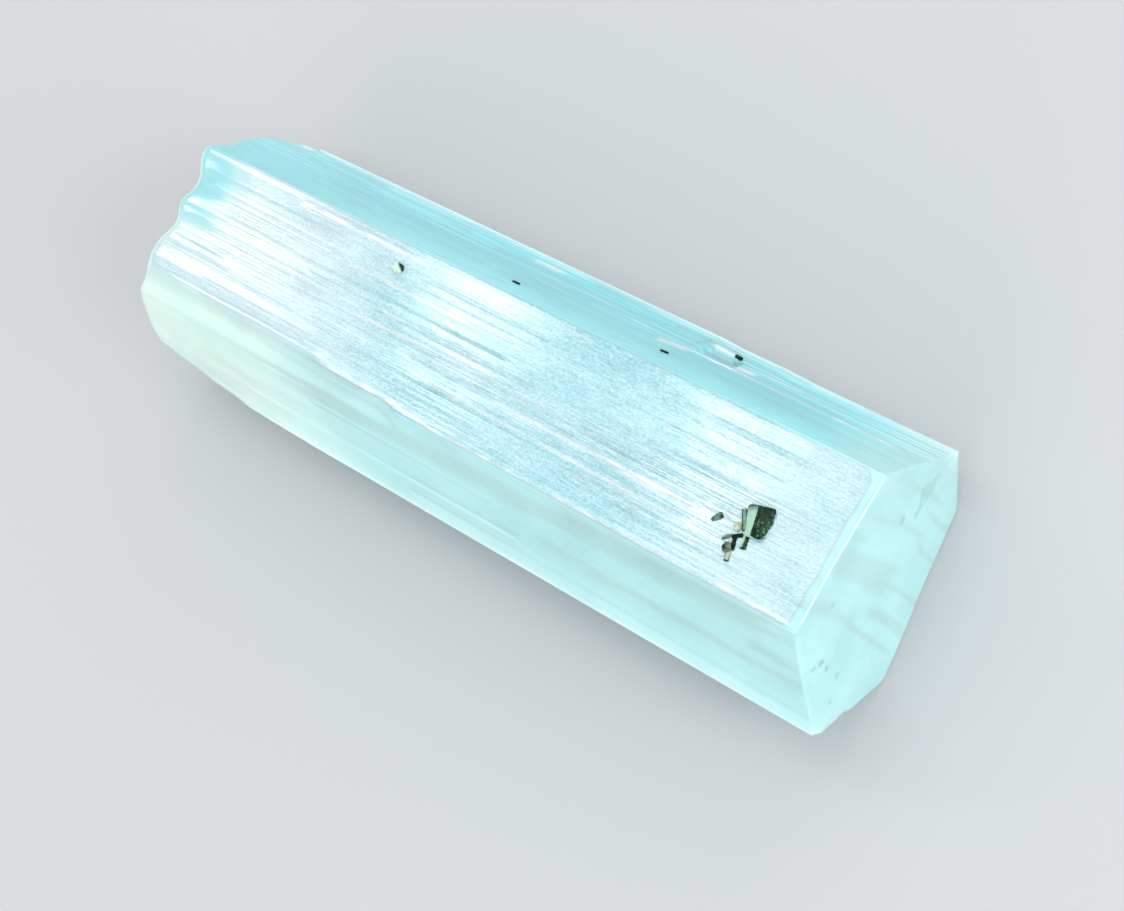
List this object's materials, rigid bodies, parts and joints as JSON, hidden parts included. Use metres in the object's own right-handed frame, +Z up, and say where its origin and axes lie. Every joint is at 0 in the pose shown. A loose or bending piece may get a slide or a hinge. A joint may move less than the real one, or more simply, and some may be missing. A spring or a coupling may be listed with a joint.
{
  "type": "rough aquamarine crystal",
  "caption": "Hexagonal prism of pale blue-green beryl, frosted on top and broken at one end, with small black crystals set in its faces; rests on one long face.",
  "frame": {"origin": "middle of the underside of the bounding box", "axes": "+X along the crystal from the broken root end to the flatter glassy end, +Y across it to the back, +Z up from the face it rests on"},
  "size_m": [0.0701, 0.0228, 0.016],
  "materials": {
    "aquamarine": "clear to milky pale blue-green beryl; frosted on the main face, glassy on the others",
    "tourmaline_black": "glossy black tourmaline with a green cast",
    "tourmaline_pale": "glossy pale green tourmaline with one dark side"
  },
  "bodies": {
    "root": {"aquamarine_crystal": "aquamarine", "tourmaline_cluster": "tourmaline_black", "tourmaline_grain": "tourmaline_black", "tourmaline_bead": "tourmaline_pale", "tourmaline_needle_1": "tourmaline_black", "tourmaline_needle_2": "tourmaline_black", "tourmaline_needle_3": "tourmaline_black"}
  },
  "joints": []
}
